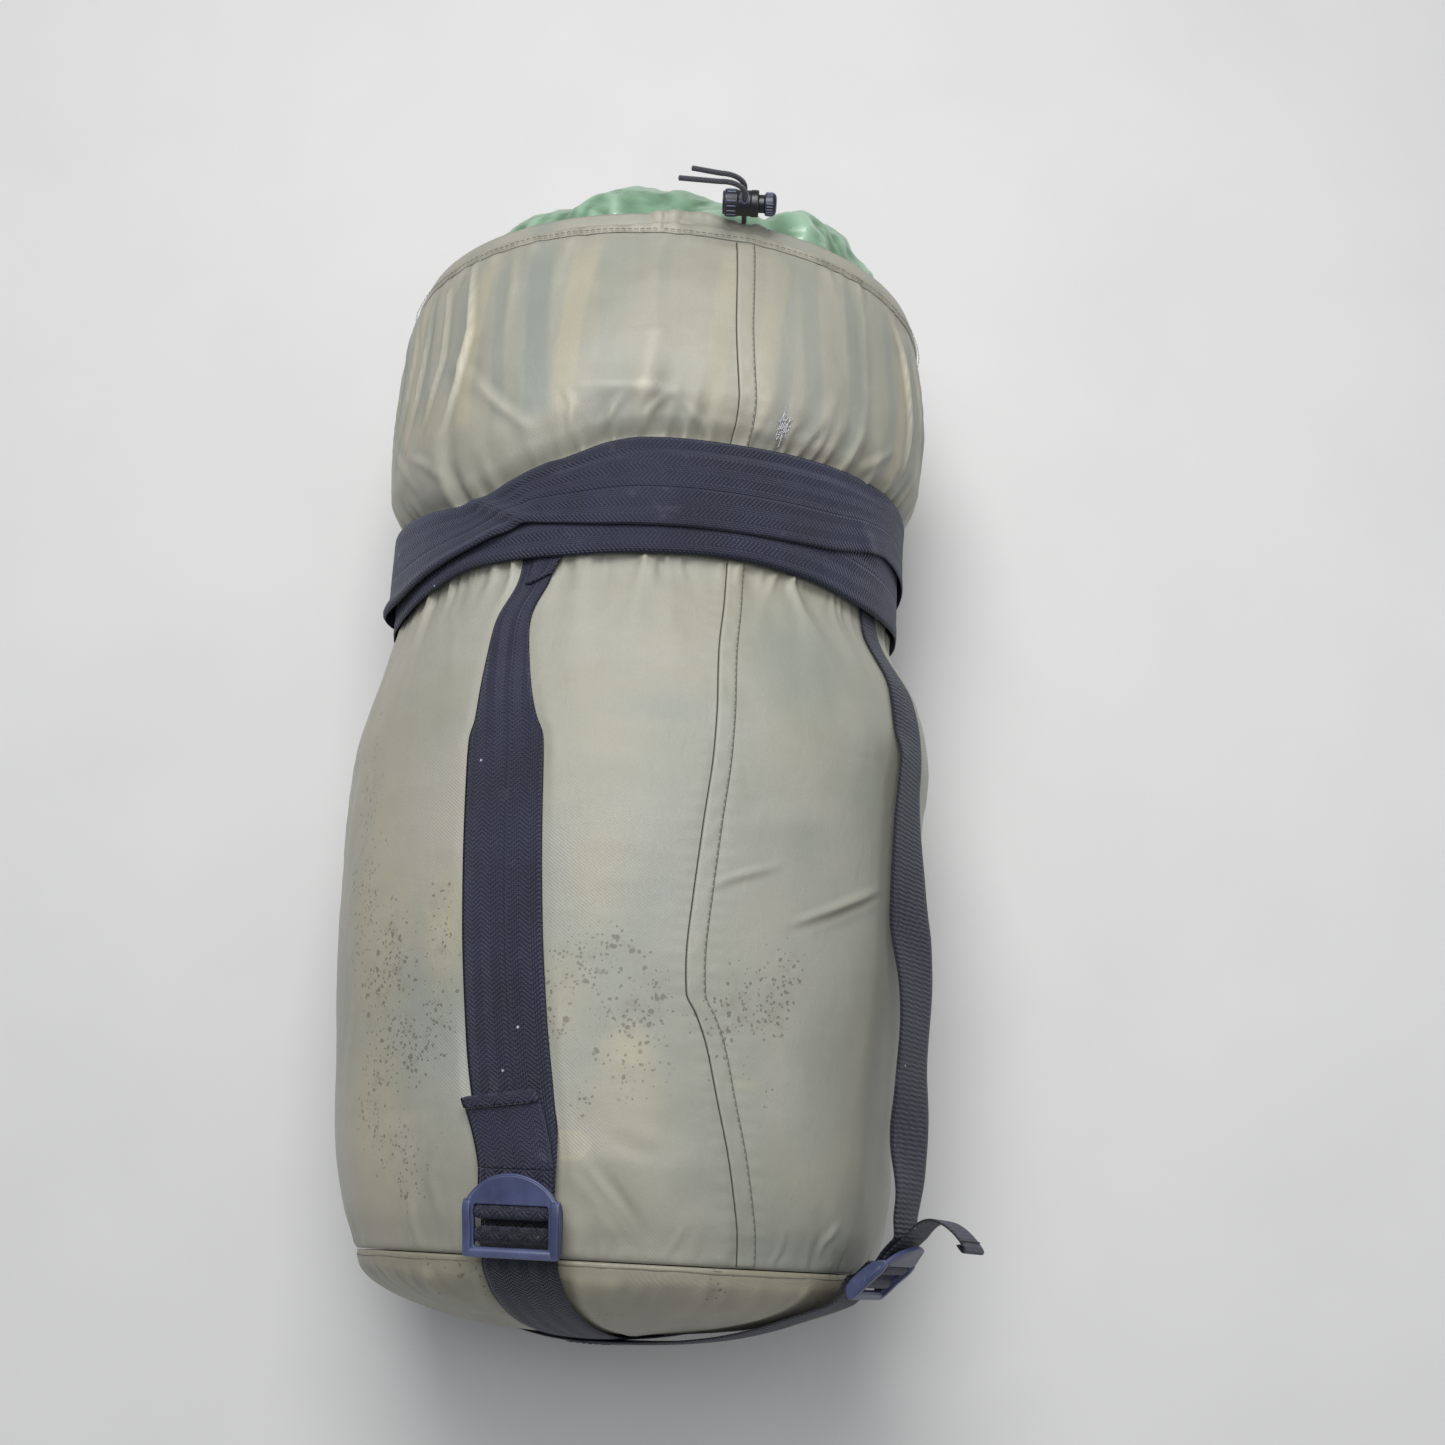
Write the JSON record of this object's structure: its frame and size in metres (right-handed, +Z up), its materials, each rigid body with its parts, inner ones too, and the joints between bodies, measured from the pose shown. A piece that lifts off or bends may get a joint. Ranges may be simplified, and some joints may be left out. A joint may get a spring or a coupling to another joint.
{
  "type": "stuff sack",
  "caption": "Stuffed nylon compression sack lying on its side, with a webbing ring, four buckled compression straps, a drawcord mouth and a barrel cord lock.",
  "frame": {"origin": "on the floor directly under the widest part of the sack's belly, on the sack's long axis", "axes": "+Z up; +Y along the sack from its base panel to its drawcord mouth; +X across, towards the strap that stands off the side"},
  "size_m": [0.3493, 0.6548, 0.2769],
  "materials": {
    "sack_fabric": "plain-woven coated nylon, faded sage, softly sheened and creased",
    "webbing": "herringbone polypropylene webbing, blue-black, a little lint",
    "cord": "braided nylon cord, black",
    "lock_plastic": "moulded acetal, slate blue, satin with fine scuffs",
    "cord_lock_plastic": "moulded plastic, black, satin",
    "sleeping_bag": "thin downproof nylon, green, shiny and crumpled",
    "spring_steel": "plated spring wire"
  },
  "bodies": {
    "sack": {"sack_tube": "sack_fabric", "side_seam": "sack_fabric", "base_panel": "sack_fabric", "base_seam_welt": "sack_fabric", "drawcord_channel": "sack_fabric", "drawcord": "cord", "sleeping_bag_stuffing": "sleeping_bag", "ring_inner_wrap": "webbing", "ring_outer_wrap": "webbing", "strap_front_left": "webbing", "strap_front_right": "webbing", "strap_rear_left": "webbing", "strap_rear_right": "webbing", "base_strap_a": "webbing", "base_strap_b": "webbing"},
    "ladder_lock_front_left": {"ladder_lock_front_left": "lock_plastic", "strap_bight_front_left": "webbing"},
    "tail_front_left": {"strap_tail_front_left": "webbing"},
    "ladder_lock_front_right": {"ladder_lock_front_right": "lock_plastic", "strap_bight_front_right": "webbing"},
    "tail_front_right": {"strap_tail_front_right": "webbing"},
    "ladder_lock_rear_left": {"ladder_lock_rear_left": "lock_plastic", "strap_bight_rear_left": "webbing"},
    "tail_rear_left": {"strap_tail_rear_left": "webbing"},
    "ladder_lock_rear_right": {"ladder_lock_rear_right": "lock_plastic", "strap_bight_rear_right": "webbing"},
    "tail_rear_right": {"strap_tail_rear_right": "webbing"},
    "cord_lock": {"cord_lock_barrel": "cord_lock_plastic", "cord_lock_spring": "spring_steel"},
    "cord_lock_button": {"cord_lock_button": "cord_lock_plastic"}
  },
  "joints": [
    {"name": "tilt_lock_front_left", "type": "hinge", "parent": "sack", "child": "ladder_lock_front_left", "pos_m": [-0.03559, -0.2085, 0.25649], "axis": [0.9613, 0, 0.2756], "range_deg": [0, 32]},
    {"name": "tilt_lock_front_right", "type": "hinge", "parent": "sack", "child": "ladder_lock_front_right", "pos_m": [0.1358, -0.22, 0.19002], "axis": [0.3907, 0, -0.9205], "range_deg": [-13, 22]},
    {"name": "tilt_lock_rear_left", "type": "hinge", "parent": "sack", "child": "ladder_lock_rear_left", "pos_m": [-0.0902, -0.2085, 0.03219], "axis": [-0.7431, 0, 0.6691], "range_deg": [0, 32]},
    {"name": "tilt_lock_rear_right", "type": "hinge", "parent": "sack", "child": "ladder_lock_rear_right", "pos_m": [0.0902, -0.2085, 0.03219], "axis": [-0.7431, 0, -0.6691], "range_deg": [0, 32]},
    {"name": "lift_tail_front_left", "type": "hinge", "parent": "ladder_lock_front_left", "child": "tail_front_left", "pos_m": [-0.03669, -0.17868, 0.26033], "axis": [0.9613, 0, 0.2756], "range_deg": [0, 95]},
    {"name": "lift_tail_front_right", "type": "hinge", "parent": "ladder_lock_front_right", "child": "tail_front_right", "pos_m": [0.15526, -0.19858, 0.19827], "axis": [0.3907, 0, -0.9205], "range_deg": [-10, 24]},
    {"name": "lift_tail_rear_left", "type": "hinge", "parent": "ladder_lock_rear_left", "child": "tail_rear_left", "pos_m": [-0.09287, -0.17868, 0.02923], "axis": [-0.7431, 0, 0.6691], "range_deg": [0, 95]},
    {"name": "lift_tail_rear_right", "type": "hinge", "parent": "ladder_lock_rear_right", "child": "tail_rear_right", "pos_m": [0.09287, -0.17868, 0.02923], "axis": [-0.7431, 0, -0.6691], "range_deg": [0, 95]},
    {"name": "slide_cord_lock", "type": "slide", "parent": "sack", "child": "cord_lock", "axis": [0, -0.0349, 0.9994], "range_m": [0, 0.006]},
    {"name": "press_cord_lock_button", "type": "slide", "parent": "cord_lock", "child": "cord_lock_button", "axis": [-1, 0, 0], "range_m": [0, 0.0028], "stiffness_N_per_m": 600, "springref_m": -0.002, "deforming": ["cord_lock_spring"]}
  ]
}
